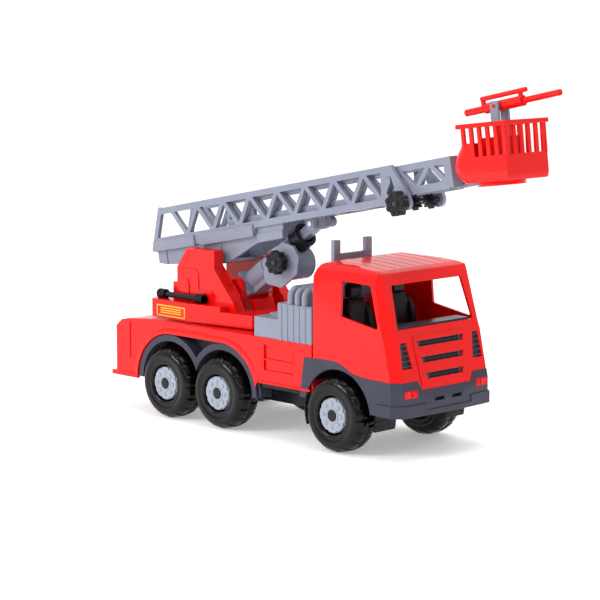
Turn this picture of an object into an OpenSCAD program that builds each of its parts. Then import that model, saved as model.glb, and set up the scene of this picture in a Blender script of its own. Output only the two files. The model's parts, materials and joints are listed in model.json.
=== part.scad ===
// Toy aerial-ladder fire engine, three axles, free-standing.
// Working frame: X forward, Y to the left, Z up, X = 0 on the rearmost axle, ground at Z = 0.
// framed() moves everything so that the part's own origin is the middle of its footprint.

/* [Wheels] */
// Radius of a tyre over its tread
tyre_r = 32.7; // [31:0.1:33.5]
// Width of a tyre
tyre_w = 26; // [24:0.5:27]
// Distance from the centre plane to the middle of a tyre
track_half = 54.5; // [54:0.1:56]
// Radius of the hub face
hub_r = 15.2; // [14:0.1:16.5]
// Radius of an axle rod
axle_r = 2.5; // [2:0.1:3]

/* [Axles] */
// Distance from the rearmost axle to the second axle
rear_pitch = 70.5; // [70:0.5:72]
// Distance from the rearmost axle to the front axle
wheelbase = 215; // [213:0.5:217]

/* [Body] */
// Half of the width of the body
body_half = 60; // [59:0.5:61]
// Height of the deck
deck_z = 89; // [88:0.5:90]
// Wall thickness of the moulded shells
wall = 2.4; // [2:0.1:3]

/* [Ladder] */
// Angle of the ladder above the level at rest
ladder_pitch = 11.3; // [10:0.1:12]
// Half of the width of the outer ladder
ladder_half = 23; // [22.5:0.1:23.5]
// Distance between two neighbouring feet of the zigzag web
web_pitch = 36; // [34:0.5:38]
// Half of the width of the inner ladder
inner_half = 17.4; // [16.5:0.1:17.8]
// Backward tilt of the rescue basket
basket_tilt = 7; // [5:0.5:9]

/* [Hidden] */
$fn = 48;

red = [0.9, 0.07, 0.06];
grey = [0.55, 0.57, 0.63];
dark = [0.27, 0.28, 0.33];
black = [0.06, 0.06, 0.07];
steel = [0.75, 0.75, 0.77];

axle_x = [0, rear_pitch, wheelbase];
axle_z = tyre_r;
running_gap = 0.06;
rear_x = -76;
flange_x = -82;
monitor_tip_x = 404;
footprint_mid_x = (flange_x + monitor_tip_x) / 2;

// turntable
turret_x = 20;
plate_z = 90.2;
plate_top = 107;
plate_front_top = 102.5;
cheek_in = 26;
cheek_out = 37;

// pivots in the working frame, as [x, z]
ladder_pivot = [19, 148];
lift_foot = [46.7, 123.7];
lift_head = [132.6, 186.4];
lift_angle = atan2(lift_head[1] - lift_foot[1], lift_head[0] - lift_foot[0]);
lift_length = norm(lift_head - lift_foot);
pin_r = 2.2;

// ladder frame: s runs along the ladder, n is normal to it
ladder_origin = [-66.2, 145.4];
function ladder_s(p) = (p[0] - ladder_origin[0]) * cos(ladder_pitch) + (p[1] - ladder_origin[1]) * sin(ladder_pitch);
function ladder_n(p) = -(p[0] - ladder_origin[0]) * sin(ladder_pitch) + (p[1] - ladder_origin[1]) * cos(ladder_pitch);
pivot_s = ladder_s(ladder_pivot);
pivot_n = ladder_n(ladder_pivot);
head_s = ladder_s(lift_head);
head_n = ladder_n(lift_head);
rail_top_n = 39;
rail_low_n = 5.5;
web_low_n = 11.5;
web_high_n = 33;
web_t = 4;

// extension drive, in the ladder frame
shaft_s = 330.6;
shaft_n = 4.6;
gear_teeth = 8;
gear_pitch_r = 6;
tooth_pitch = 2 * PI * gear_pitch_r / gear_teeth;
addendum = 1.3;
rack_n = shaft_n + gear_pitch_r + addendum;
inner_low_n = 10.2;
inner_top_n = 36.5;
inner_start_s = 104;
inner_end_s = 378;
web_foot_s = 53;

// basket frame: origin on its swivel pin under the tub
basket_pin = [344, 238.5];
tub_front = 29;
tub_half = 26;
tub_low = -1;
tub_h = 20.2;
tub_floor = 1;
tongue_h = [-3.2, -1.25];
rail_h = 43.6;

// layout shared by several pieces
arch_r = 45;
cap_r = 5;
cap_floor = tyre_w / 2 - 3;
frame_half = 30;
frame_top = 62;
tray_z = 72.6;
screw_r = 1.6;
screw_spots = [-62, 100, 172];
frame_pockets = [[-52, -8], [8, 62], [79, 94], [106, 164], [180, 206], [224, 268]];
cab_rear = 184;
cab_top = 162;
rest_top = 176;
box_step_x = 141.6;
box_top = 121.5;
swivel_r = 18;
retainer_r = 23;
step_x = 54;
trough_z = 97;
ear_in = 14.6;
web_w = 4.2;
barrel_r = 9.5;
gear_u = 61.3;
gear_v = -4.5 - addendum - gear_pitch_r;
rack_back = -140;
rack_front = 40;
basket_pin_r = 4;
monitor_u = 4;
monitor_v = 60;

// ---------- helpers ----------
module rod_x(r, x0, x1, y = 0, z = 0) translate([x0, y, z]) rotate([0, 90, 0]) cylinder(r = r, h = x1 - x0);

module framed() translate([-footprint_mid_x, 0, 0]) children();

// an outline drawn in X and Z, extruded along Y
module along_y(y0, y1) translate([0, y1, 0]) rotate([90, 0, 0]) linear_extrude(y1 - y0) children();

module rod_y(r, y0, y1, x = 0, z = 0) translate([x, y1, z]) rotate([90, 0, 0]) cylinder(r = r, h = y1 - y0);

module block(x, y, z) translate([x[0], y[0], z[0]]) cube([x[1] - x[0], y[1] - y[0], z[1] - z[0]]);

module both_sides() for (m = [0, 1]) mirror([0, m, 0]) children();

module on_ladder() translate([ladder_origin[0], 0, ladder_origin[1]]) rotate([0, -ladder_pitch, 0]) children();

module on_lift() translate([lift_foot[0], 0, lift_foot[1]]) rotate([0, -lift_angle, 0]) children();

module on_basket() translate([basket_pin[0], 0, basket_pin[1]]) rotate([0, -basket_tilt, 0]) children();

// a flat bar from p to q in an outline
module bar_2d(p, q, w) {
    d = (q - p) / norm(q - p);
    side = [-d[1], d[0]] * w / 2;
    polygon([p + side, q + side, q - side, p - side]);
}

// pinion outline with slim straight teeth
module pinion_2d(bore) difference() {
    union() {
        circle(r = gear_pitch_r - 1.5);
        for (i = [0 : gear_teeth - 1]) rotate(i * 360 / gear_teeth)
            polygon([[0, -1.2], [gear_pitch_r - 1.5, -1.2], [gear_pitch_r + addendum, -0.4],
                     [gear_pitch_r + addendum, 0.4], [gear_pitch_r - 1.5, 1.2], [0, 1.2]]);
    }
    if (bore > 0) circle(r = bore);
}

// rack teeth pointing down from the line z = 0, with a gap centred on x = 0
module rack_2d(x0, x1) {
    first = ceil((x0 / tooth_pitch) - 0.5) + 0.5;
    for (k = [first : 1 : x1 / tooth_pitch - 0.5]) translate([k * tooth_pitch, 0])
        polygon([[-1.2, 0.01], [-0.45, -2 * addendum], [0.45, -2 * addendum], [1.2, 0.01]]);
}

// ---------- wheels ----------
module wheel_at(x, side) translate([x, side * track_half, axle_z]) rotate([-90 * side, 0, 0]) children();

module tyre(x, side) color(black) wheel_at(x, side) rotate_extrude($fn = 72) polygon([
    [hub_r + 0.8, -tyre_w / 2 + 3], [hub_r + 4, -tyre_w / 2], [tyre_r - 5, -tyre_w / 2 + 0.6],
    [tyre_r - 1.4, -tyre_w / 2 + 4], [tyre_r, -tyre_w / 4], [tyre_r, tyre_w / 4],
    [tyre_r - 1.4, tyre_w / 2 - 4], [tyre_r - 5, tyre_w / 2 - 0.6], [hub_r + 4, tyre_w / 2],
    [hub_r + 0.8, tyre_w / 2 - 3], [hub_r + 0.8, 2], [hub_r - 2, 2], [hub_r - 2, -2], [hub_r + 0.8, -2]
]);

// the tyre's inner rib snaps into the groove round the hub
module hub(x, side) color(grey) wheel_at(x, side) difference() {
    rotate_extrude($fn = 72) polygon([
        [axle_r, -tyre_w / 2], [hub_r - 3, -tyre_w / 2], [hub_r - 3, -6], [hub_r - 1, -6], [hub_r - 1, -2],
        [hub_r - 2, -2], [hub_r - 2, 2], [hub_r - 1, 2], [hub_r, 3], [hub_r, tyre_w / 2 - 2],
        [hub_r - 0.8, tyre_w / 2 - 1.2], [cap_r + 0.2, tyre_w / 2 - 1.2], [cap_r + 0.2, cap_floor], [axle_r, cap_floor]
    ]);
    for (i = [0 : 7]) rotate(i * 45 + 22.5) translate([hub_r + 0.6, 0, tyre_w / 2 - 2.8])
        cylinder(r = 2, h = 3, $fn = 24);
}

module axle(x) color(steel) rod_y(axle_r, -track_half - cap_floor, track_half + cap_floor, x, axle_z);

module axle_caps(x) color(black) for (side = [-1, 1]) wheel_at(x, side) translate([0, 0, cap_floor]) {
    cylinder(r = cap_r, h = 1.6);
    translate([0, 0, 1.6]) cylinder(r1 = cap_r, r2 = cap_r - 1, h = 0.6);
}

module rear_arch_2d(grow = 0) {
    for (x = [0, rear_pitch]) {
        translate([x, axle_z]) circle(r = arch_r + grow);
        translate([x - arch_r - grow, 20]) square([2 * (arch_r + grow), axle_z - 20]);
    }
    translate([0, 20]) square([rear_pitch, axle_z + arch_r + grow - 20]);
}

module wheel_pair_2d(r) for (x = [0, rear_pitch]) {
    translate([x, axle_z]) circle(r = r);
    translate([x - r, 0]) square([2 * r, axle_z]);
}

module front_arch_2d(r) {
    translate([wheelbase, axle_z]) circle(r = r);
    translate([wheelbase - r, 0]) square([2 * r, axle_z]);
}

// ---------- chassis ----------
module chassis_side_2d(inset = 0) polygon([
    [rear_x + inset, 33 - inset], [rear_x + inset, 78], [-68 + inset / 2, 84.5 - inset], [-58, deck_z - 2.5 - inset],
    [-30, deck_z - inset], [184 - inset, deck_z - inset], [184 - inset, 48 - inset], [96, 48 - inset], [96, 33 - inset]
]);

module chassis_shell() color(red) {
    difference() {
        along_y(-body_half, body_half) chassis_side_2d();
        along_y(-body_half + wall, body_half - wall) chassis_side_2d(wall);
        along_y(-body_half - 2, body_half + 2) rear_arch_2d();
        translate([turret_x, 0, deck_z - 12]) cylinder(r = swivel_r + 0.4, h = 20);
        // passage for the frame in the front wall
        block([180, 190], [-frame_half, frame_half], [40, frame_top]);
        // seat of the front fender on the flank
        both_sides() along_y(body_half - wall, body_half + 1) polygon([[170, 42.4], [175, 77.8], [190, 78.1], [190, 42.4]]);
        both_sides() {
            // upright groove near the rear corner
            translate([-57, body_half - 0.9, 50]) cube([4, 2, 34]);
            // sunken panel ahead of the rear wheels
            translate([125, body_half - 1.4, 60]) cube([36, 3, 23]);
        }
    }
    // rear flange, cut clear of the wheel arches
    block([flange_x, rear_x + wall], [-body_half - 0.8, body_half + 0.8], [31, 35]);
    both_sides() block([rear_x, -arch_r - 0.5], [body_half - wall, body_half + 0.8], [31, 35]);
    // screw posts under the deck
    for (p = screw_spots) translate([p, 0, frame_top]) difference() {
        cylinder(r = 5, h = deck_z - wall / 2 - frame_top);
        translate([0, 0, -1]) cylinder(r = screw_r, h = 11);
    }
}

module chassis_frame() color(black) difference() {
    union() {
        block([-70, 274], [-frame_half, frame_half], [26, frame_top]);
        // ledge that closes the body from below, between the wheels
        block([120, 168], [-body_half + wall, body_half - wall], [44, 47]);
        // deck that carries the cab
        block([184, 274], [-frame_half, frame_half], [frame_top, tray_z]);
    }
    for (x = axle_x) rod_y(axle_r + running_gap, -frame_half - 1, frame_half + 1, x, axle_z);
    // pockets from below, which leave cross walls at the axles and the screws
    for (s = frame_pockets) block(s, [-frame_half + 3, frame_half - 3], [20, frame_top - 4]);
    for (p = screw_spots) {
        translate([p, 0, frame_top - 5]) cylinder(r = screw_r, h = 10);
        translate([p, 0, 20]) cylinder(r = screw_r + 2, h = frame_top - 3 - 20);
    }
    translate([turret_x, 0, frame_top - 8]) cylinder(r = retainer_r + 1.5, h = 12);
    // raised nose, hidden behind the bumper
    block([236, 280], [-frame_half - 2, frame_half + 2], [20, 39]);
}

module rear_fender(side) color(dark) scale_y(side) {
    along_y(44, body_half - 0.4) intersection() {
        difference() {
            wheel_pair_2d(arch_r - 0.6);
            wheel_pair_2d(arch_r - 6.6);
        }
        translate([-80, 33]) square([240, 60]);
    }
    // inner wall and rim that close the arch behind the strip
    along_y(44, 46) intersection() {
        difference() {
            rear_arch_2d(3);
            wheel_pair_2d(arch_r - 6.6);
        }
        translate([-80, 33]) square([240, 60]);
    }
    along_y(44, body_half - wall) intersection() {
        difference() {
            rear_arch_2d(3);
            rear_arch_2d(1);
        }
        translate([-80, 34]) square([240, 60]);
    }
}

module scale_y(side) mirror([0, side < 0 ? 1 : 0, 0]) children();

module frame_screws() color(steel) for (p = screw_spots) translate([p, 0, frame_top - 5.4]) {
    cylinder(r = screw_r, h = 14);
    cylinder(r = screw_r + 1.6, h = 2.4);
}

// ---------- cab ----------
module cab_side_2d(inset) offset(delta = -inset) polygon([
    [cab_rear, 36], [cab_rear, 150], [188, 159], [194, cab_top], [222, cab_top - 1], [252, 158.5], [258, 156.5],
    [260.5, 153], [273.8, 110], [276, 106], [286.2, 60], [288.6, 49], [288.6, 36]
]);

module cab_plan_2d(inset) offset(delta = -inset) polygon([
    [cab_rear, 2 - body_half], [cab_rear + 2, -body_half], [278, -body_half], [286, 6.5 - body_half], [288.2, -16],
    [288.2, 16], [286, body_half - 6.5], [278, body_half], [cab_rear + 2, body_half], [cab_rear, body_half - 2]
]);

module cab_front_2d(inset) offset(delta = -inset) polygon([
    [-body_half, 30], [-body_half, 112], [2.5 - body_half, 149], [4.5 - body_half, 156], [9 - body_half, 160],
    [-40, cab_top + 0.5], [40, cab_top + 0.5],
    [body_half - 9, 160], [body_half - 4.5, 156], [body_half - 2.5, 149], [body_half, 112], [body_half, 30]
]);

module cab_block(inset = 0) difference() {
    intersection() {
        along_y(-80, 80) cab_side_2d(inset);
        translate([0, 0, 20]) linear_extrude(160) cab_plan_2d(inset);
        translate([150, 0, 0]) rotate([90, 0, 90]) linear_extrude(160) cab_front_2d(inset);
    }
    // chamfered front corners, which follow the slope of the front
    both_sides() {
        translate([281.7, 3 - body_half, 60]) rotate([0, 0, -51.3]) rotate([0, -7.9, 0])
            translate([-inset, -60, -60]) cube([40, 120, 120]);
        translate([270, 3 - body_half, 108]) rotate([0, 0, -51.3]) rotate([0, -10.9, 0])
            translate([-inset, -60, -5]) cube([40, 120, 90]);
    }
}

// outline of the grey bumper and front fender; the red cab begins along its upper edge
module bumper_side_2d() polygon([
    [170, 42.4], [175, 77.8], [206, 78.6], [214, 78], [223, 75], [232, 70.6], [243, 68.6], [262, 68],
    [300, 68], [300, 36], [170, 36]
]);

// everything that the bumper fills in front, drawn in Y and Z; its top edge dips under the grille
module bumper_front_2d() polygon([
    [-80, 20], [-80, 67.6], [-35, 67.6], [-30.6, 59.5], [30.6, 59.5], [35, 67.6], [80, 67.6], [80, 20]
]);

module bumper_zone() {
    intersection() {
        along_y(-80, 80) bumper_side_2d();
        block([150, 268], [-80, 80], [20, 90]);
    }
    translate([268, 0, 0]) rotate([90, 0, 90]) linear_extrude(40) bumper_front_2d();
}

module windshield_2d() offset(2) offset(delta = -2) polygon([[-48, 110.5], [-44, 147], [44, 147], [48, 110.5]]);

module side_window_2d() offset(2) offset(delta = -2) polygon([[217.5, 148], [218.5, 118], [262.5, 110.5], [251, 147]]);

module grille_slots() translate([262, 0, 0]) rotate([90, 0, 90]) linear_extrude(40)
    for (i = [0 : 2]) translate([0, 95 - 13.5 * i]) polygon([
        [3 * i - 28.2, 0], [3 * i - 29.6, 4.9], [29.6 - 3 * i, 4.9], [28.2 - 3 * i, 0]
    ]);

module vent_opening() translate([262, 0, 0]) rotate([90, 0, 90]) linear_extrude(40)
    polygon([[42, 100], [49.2, 100], [50.8, 78.4], [38.6, 78.4]]);

module cab_shell() color(red) difference() {
    cab_block();
    cab_block(wall);
    block([180, 268], [-80, 80], [20, 68]);
    block([260, 280], [wall - body_half, body_half - wall], [20, 68]);
    bumper_zone();
    block([180, 300], [-80, 80], [20, 59.5]);
    along_y(-80, 80) side_window_2d();
    translate([240, 0, 0]) rotate([90, 0, 90]) linear_extrude(60) windshield_2d();
    grille_slots();
    both_sides() vent_opening();
    // lengthwise grooves in the roof
    for (i = [-3 : 3]) along_y(i * 13 - 0.7, i * 13 + 0.7) polygon([
        [199, 165], [199, 160], [222, 159.3], [251, 156.9], [251, 165]
    ]);
    block([cab_rear - 5, cab_rear + 5], [-34, 34], [124, 146]);
}

module front_bumper() color(dark) difference() {
    union() {
        intersection() {
            union() {
                cab_block(-0.4);
                along_y(-body_half - 0.4, body_half + 0.4) polygon([[170, 42.4], [175, 77.8], [206, 78.6], [206, 42.4]]);
            }
            bumper_zone();
            block([150, 300], [-80, 80], [38, 90]);
        }
        // stepped lip, lower in the middle
        difference() {
            translate([0, 0, 38]) linear_extrude(10.2) cab_plan_2d(-2);
            block([150, 262], [-80, 80], [30, 60]);
            translate([288.6, -28.5, 42.6]) cube([10, 57, 10]);
        }
    }
    along_y(-80, 80) front_arch_2d(39);
    block([150, 276], [wall - body_half, body_half - wall], [20, 120]);
    both_sides() block([280, 300], [37, 53], [53.8, 61]);
    both_sides() block([284, 300], [4.8, 17.2], [49, 52]);
}

module light(side) color(red) scale_y(side) intersection() {
    cab_block(-0.4);
    block([280, 300], [37.2, 52.8], [54, 60.8]);
}

module grille_insert() color(dark) difference() {
    intersection() {
        cab_block(wall + 0.02);
        block([262, 290], [-32, 32], [66, 102]);
    }
    cab_block(wall + 2.2);
}

module vent(side) color(dark) scale_y(side) difference() {
    intersection() {
        cab_block(wall + 0.02);
        block([250, 290], [37, 52], [76, 102]);
    }
    cab_block(wall + 2.2);
}

module interior_tray() color(black) block([190, 272], [-body_half + wall + 1, body_half - wall - 1], [tray_z, tray_z + 3]);

module seat(side) color(black) scale_y(side) {
    block([206, 236], [13, 41], [tray_z + 3, 88]);
    along_y(14, 40) polygon([[206, 88], [199, 128], [201, 130], [206, 130], [214, 88]]);
    along_y(20, 34) polygon([[199.5, 128], [198, 140], [200, 142], [204, 142], [206, 130]]);
}

module dashboard() color(dark) block([256, 270], [-46, 46], [104, 112]);

module ladder_rest() color(grey) {
    block([172, 176], [-24, 24], [box_top, 164]);
    both_sides() block([172, 176], [16, 24], [164, rest_top]);
}

// a pipe that stands on the edge of the box and bends into the raised block
module pipe_bend(x) translate([x, 4 - body_half, box_top]) {
    cylinder(r = 3, h = 7);
    translate([0, 5, 7]) rotate([0, -90, 0]) rotate([0, 0, -90]) rotate_extrude(angle = 90)
        translate([5, 0]) circle(r = 3);
    translate([0, 5, 12]) rotate([-90, 0, 0]) cylinder(r = 3, h = 5);
}

module equipment_box() color(grey) {
    side = body_half - 0.6;
    block([112, box_step_x], [-side, side], [deck_z, 106.8]);
    block([116, box_step_x], [-44, 44], [106.8, 108.8]);
    block([box_step_x, 183.9], [-side, side], [deck_z, box_top]);
    block([box_step_x, 150], [-27, 27], [box_top, 126.5]);
    // raised block, which leaves room for the rest's plate
    difference() {
        along_y(10 - body_half, body_half - 10) polygon([
            [148, box_top], [148, 131], [149.5, 135.5], [152.5, 137], [183.9, 137], [183.9, box_top]
        ]);
        block([171.8, 190], [-25, 25], [box_top, 140]);
    }
    both_sides() for (i = [0 : 2]) pipe_bend(155 + 8.6 * i);
    // upright ribs on the flanks
    both_sides() for (i = [0 : 5]) block([143.6 + 7.3 * i, 147 + 7.3 * i], [side - 0.4, body_half], [deck_z, 120]);
}

// ---------- turntable ----------
module base_2d() polygon([
    [-39, -44], [-33.5, -52], [16, -52], [91, -42], [98, -30], [98, 30], [91, 42], [16, 52], [-33.5, 52], [-39, 44]
]);

module turntable_base() color(red) difference() {
    union() {
        translate([0, 0, plate_z]) linear_extrude(plate_front_top - plate_z) base_2d();
        // louvred block ahead of the trough
        for (i = [0 : 2]) block([60 - i, 65 - i], [-12, 12], [plate_front_top + 3 * i - 0.1, plate_front_top + 3 * i + 3]);
        intersection() {
            translate([0, 0, plate_z]) linear_extrude(plate_top - plate_z) base_2d();
            block([-60, step_x], [-60, 60], [plate_z, plate_top]);
        }
        translate([turret_x, 0, deck_z - wall - 0.5]) cylinder(r = swivel_r, h = plate_z - deck_z + wall + 0.6);
    }
    block([-60, 58], [-cheek_in, cheek_in], [trough_z, 200]);
    translate([turret_x, 0, 60]) cylinder(r = screw_r, h = 35);
}

module cheek_2d() polygon([
    [-15, plate_top], [-15, 137], [-1, 155.5], [35.6, 156], [35.6, 139], [60.7, 111], [65, plate_front_top],
    [step_x, plate_front_top], [step_x, plate_top]
]);

module turret_frame() color(red) difference() {
    union() {
        both_sides() {
            along_y(cheek_in, cheek_out) cheek_2d();
            along_y(cheek_in - 1, cheek_in) polygon([
                [-30, trough_z], [-30, 112], [-15, 122], [-15, 137], [-1, 155.5], [34, 156], [34, 143], [58, 116],
                [58, trough_z]
            ]);
            // nested raised panels on the flank
            along_y(cheek_out, cheek_out + 0.8) polygon([[-9, 107], [-9, 137], [11, 137], [15, 133], [15, 107]]);
            along_y(cheek_out, cheek_out + 0.8) polygon([[15, 107], [15, 119], [32, 119], [34, 117], [34, 107]]);
            along_y(cheek_out + 0.8, cheek_out + 1.8) polygon([
                [-9, 107], [-9, 125], [-7, 127], [0, 127], [2.6, 124], [2.6, 107]
            ]);
            // small block behind the flank
            block([-24, -15], [cheek_in, 34], [plate_top, 122]);
            // ears that hold the foot of the lift
            along_y(ear_in, ear_in + 5) union() {
                translate(lift_foot) circle(r = 7);
                translate([lift_foot[0] - 7, trough_z]) square([14, lift_foot[1] - trough_z]);
            }
        }
        block([-30, 58], [-cheek_in, cheek_in], [trough_z, trough_z + 2.5]);
    }
    rod_y(pin_r, -33, 33, ladder_pivot[0], ladder_pivot[1]);
    rod_y(pin_r, -30, 30, lift_foot[0], lift_foot[1]);
}

module turntable_retainer() color(black) difference() {
    translate([turret_x, 0, deck_z - wall - 4.5]) cylinder(r = retainer_r, h = 4);
    translate([turret_x, 0, 60]) cylinder(r = screw_r, h = 40);
}

module retainer_screw() color(steel) translate([turret_x, 0, 0]) {
    translate([0, 0, deck_z - wall - 4.5]) cylinder(r = screw_r, h = 11);
    translate([0, 0, deck_z - wall - 7]) cylinder(r = 4, h = 2.5);
}

module grab_bar(side) color(black) scale_y(side) {
    rod_x(2.6, -34, 28, 42.3, plate_top + 4);
    for (x = [-34, 18]) rod_x(4, x, x + 10, 42.3, plate_top + 4);
}

module ladder_pivot_pin() color(steel) rod_y(pin_r, -33, 33, ladder_pivot[0], ladder_pivot[1]);
module lift_foot_pin() color(steel) rod_y(pin_r, -ear_in - 5.6, ear_in + 5.6, lift_foot[0], lift_foot[1]);

// ---------- ladders ----------
// zigzag web between the rails of one side, drawn in the ladder frame
module web_2d(s0, s1, low, high, first_foot) intersection() {
    translate([s0, low - 0.5]) square([s1 - s0, high - low + 1]);
    for (k = [0 : ceil((s1 - s0) / web_pitch)]) {
        foot = [first_foot + k * web_pitch, low - 2];
        bar_2d(foot, [foot[0] + web_pitch / 2, high + 2], web_w);
        bar_2d(foot, [foot[0] - web_pitch / 2, high + 2], web_w);
    }
}

module outer_side_2d() {
    polygon([[17, web_high_n], [20.4, rail_top_n], [321, rail_top_n - 1], [323, web_high_n]]);
    polygon([[2, rail_low_n - 5.5], [6, web_low_n], [325, web_low_n], [325, rail_low_n], [145, rail_low_n], [143, 0]]);
    bar_2d([2.6, 0], [19.4, rail_top_n], 5);
    web_2d(10, 318, web_low_n, web_high_n, web_foot_s);
    // nose that carries the extension shaft
    difference() {
        polygon([[304, rail_low_n], [308, web_high_n], [322, web_high_n + 2], [336, 12], [337, shaft_n], [324, -1]]);
        polygon([[312, 14], [315, 29], [319, 29], [323, 14]]);
    }
    translate([shaft_s, shaft_n]) circle(r = 6.6);
}

module outer_ladder() color(grey) on_ladder() difference() {
    union() {
        both_sides() {
            along_y(ladder_half - web_t, ladder_half) outer_side_2d();
            // side plates over the cradle
            along_y(ladder_half, ladder_half + 1.5) polygon([[2.5, -0.5], [4.8, 8.6], [62.5, 8.6], [62.5, -1.2]]);
            along_y(ladder_half, ladder_half + 1.5) polygon([[68.5, -1.8], [76, 8.6], [143.5, 8.6], [142.5, -1.8]]);
            // ledge that the inner ladder slides on
            block([54, 318], [inner_half - 0.5, ladder_half - web_t], [rail_low_n, inner_low_n - 0.35]);
            // lug for the head of the lift
            along_y(6, 11) polygon([
                [head_s - 18, rail_low_n], [head_s - 18, 8], [head_s + 24, 8], [head_s + 24, rail_low_n],
                [head_s + 5.5, rail_low_n], [head_s + 4.5, head_n - 4], [head_s, head_n - 6],
                [head_s - 4.5, head_n - 4], [head_s - 5.5, rail_low_n]
            ]);
        }
        // rungs
        for (s = [8, 40, 176, 208 + 14, 262, 296]) block([s, s + 5], [web_t - ladder_half, ladder_half - web_t], [rail_low_n, 8]);
        block([head_s - 18, head_s - 13], [web_t - ladder_half, ladder_half - web_t], [rail_low_n, 8]);
        rod_y(4.8, 11, ladder_half - web_t, head_s, head_n);
    }
    rod_y(axle_r + running_gap, -ladder_half - 1, ladder_half + 1, shaft_s, shaft_n);
    rod_y(pin_r, -12, 18, head_s, head_n);
}

module cradle_2d() polygon([
    [4.7, rail_low_n - 5.5], [4.6, -11.8], [15.4, -14.1], [95.5, -22], [105, -20.1], [142, -8.4], [176, -7.7],
    [178.8, rail_low_n], [145, rail_low_n], [143, 0]
]);

module ladder_cradle() color(grey) on_ladder() difference() {
    union() {
        both_sides() along_y(17, 20) cradle_2d();
        along_y(-17.5, 17.5) polygon([[4.7, 0], [4.6, -11.8], [15.4, -14.1], [95.5, -22], [98, -21.3], [98, -18.5],
            [95.5, -19.5], [15.4, -11.6], [7.2, -10], [7.2, 0]]);
        rod_y(6, -cheek_in + 2.6, cheek_in - 2.6, pivot_s, pivot_n);
        both_sides() along_y(20, 21) polygon([[144, -8.2], [177, -7.5], [177.6, -0.4], [144, -0.4]]);
        // ribs on the outside
        both_sides() for (s = [15.5, 93]) block([s, s + 2], [19, 20.8], [s < 50 ? -14 : -21.6, -0.2]);
    }
    rod_y(pin_r + running_gap, -40, 40, pivot_s, pivot_n);
}

module lift_head_pin() color(steel) on_ladder() rod_y(pin_r, -11.4, 17, head_s, head_n);

module inner_side_2d() {
    polygon([[inner_start_s, 31], [inner_start_s, inner_top_n], [inner_end_s, inner_top_n], [inner_end_s, 31]]);
    polygon([[inner_start_s, inner_low_n], [inner_start_s, 17], [inner_end_s, 17], [inner_end_s, inner_low_n]]);
    polygon([[inner_start_s, 12], [inner_start_s, 36], [inner_start_s + 4, 36], [inner_start_s + 4, 12]]);
    polygon([[inner_end_s - 3, 12], [inner_end_s - 3, inner_top_n], [inner_end_s + 5, inner_top_n], [inner_end_s + 5, inner_low_n]]);
    web_2d(inner_start_s, inner_end_s, 16.5, 31.5, web_foot_s + 2 * web_pitch);
}

module inner_ladder() color(grey) {
    on_ladder() {
        both_sides() {
            along_y(inner_half - 3.4, inner_half) inner_side_2d();
            along_y(6.5, 13.6) translate([shaft_s, rack_n]) rack_2d(rack_back, rack_front);
            block([shaft_s + rack_back, shaft_s + rack_front], [6.5, inner_half - 2], [rack_n, rack_n + 2]);
        }
        for (s = [125 : 36 : 341]) block([s - 2, s + 2], [3 - inner_half, inner_half - 3], [13, 16.5]);
        block([inner_end_s + 2, inner_end_s + 5], [3 - inner_half, inner_half - 3], [inner_low_n, inner_top_n]);
    }
    // tongue that the basket swivels on
    on_basket() difference() {
        union() {
            block([-46, -37.5], [-6, 6], [tongue_h[0], 3]);
            block([-38, 0], [-6, 6], tongue_h);
            translate([0, 0, tongue_h[0]]) cylinder(r = 10, h = tongue_h[1] - tongue_h[0]);
        }
        translate([0, 0, -8]) cylinder(r = basket_pin_r + running_gap, h = 10);
    }
}

module extension_shaft() color(black) on_ladder() {
    rod_y(axle_r, -34.5, ladder_half + 1.4, shaft_s, shaft_n);
    both_sides() along_y(6.7, 13.4) translate([shaft_s, shaft_n]) pinion_2d(0);
}

module knob(y0, y1) rotate([90, 0, 0]) translate([0, 0, -y1]) difference() {
    union() {
        cylinder(r = 9.4, h = y1 - y0);
        for (i = [0 : 7]) rotate(i * 45 + 22.5) translate([8.4, 0, 0]) cylinder(r = 2.6, h = y1 - y0, $fn = 32);
    }
    translate([0, 0, -1]) cylinder(r = axle_r, h = y1 - y0 + 2);
}

module extension_knob() color(black) on_ladder() translate([shaft_s, 0, shaft_n]) knob(-35, -28.5);

// ---------- lift ----------
module lift_barrel() color(grey) on_lift() difference() {
    union() {
        rotate([0, 90, 0]) cylinder(r = barrel_r, h = 80);
        rotate([0, 90, 0]) cylinder(r = barrel_r + 1, h = 30);
        block([2, 5.6], [-ear_in + 0.5, ear_in - 0.5], [-12.6, 10.5]);
        block([5.6, 26], [-8, 8], [-12.6, -8]);
        rod_y(6.5, -ear_in + 0.5, ear_in - 0.5);
        block([0, 5], [-ear_in + 0.5, ear_in - 0.5], [-6.5, 6.5]);
        // gear housing with an eight-sided cheek on the near side
        rod_y(15, -14, 12, gear_u - 2, gear_v - 2);
        along_y(-16, -13) translate([gear_u - 2, gear_v - 2]) polygon([
            [-20, 13], [-27, 2], [-27, -4], [-13, -16.5], [11, -16.5], [22, -6], [22, 6], [12, 16.5], [-12, 16.5]
        ]);
    }
    translate([12, 0, 0]) rotate([0, 90, 0]) cylinder(r = barrel_r - 1.5, h = 80);
    rod_y(pin_r + running_gap, -30, 30);
    rod_y(gear_pitch_r + addendum + 1, -4, 4, gear_u, gear_v);
    rod_y(axle_r + running_gap, -30, 7, gear_u, gear_v);
}

module lift_collar() color(black) on_lift() rotate([0, 90, 0]) difference() {
    translate([0, 0, 75]) cylinder(r = barrel_r + 2, h = 12);
    translate([0, 0, 70]) cylinder(r = barrel_r, h = 10);
    cylinder(r = barrel_r - 1.5, h = 100);
}

module lift_rod() color(grey) on_lift() difference() {
    union() {
        block([28, lift_length], [-5, 5], [-4.5, 4.5]);
        rod_y(6.3, -5, 5, lift_length, 0);
        along_y(-2.6, 2.6) translate([gear_u, -4.5]) rack_2d(-30, 16);
    }
    rod_y(pin_r + 1.5, -10, 10, lift_length, 0);
}

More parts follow.
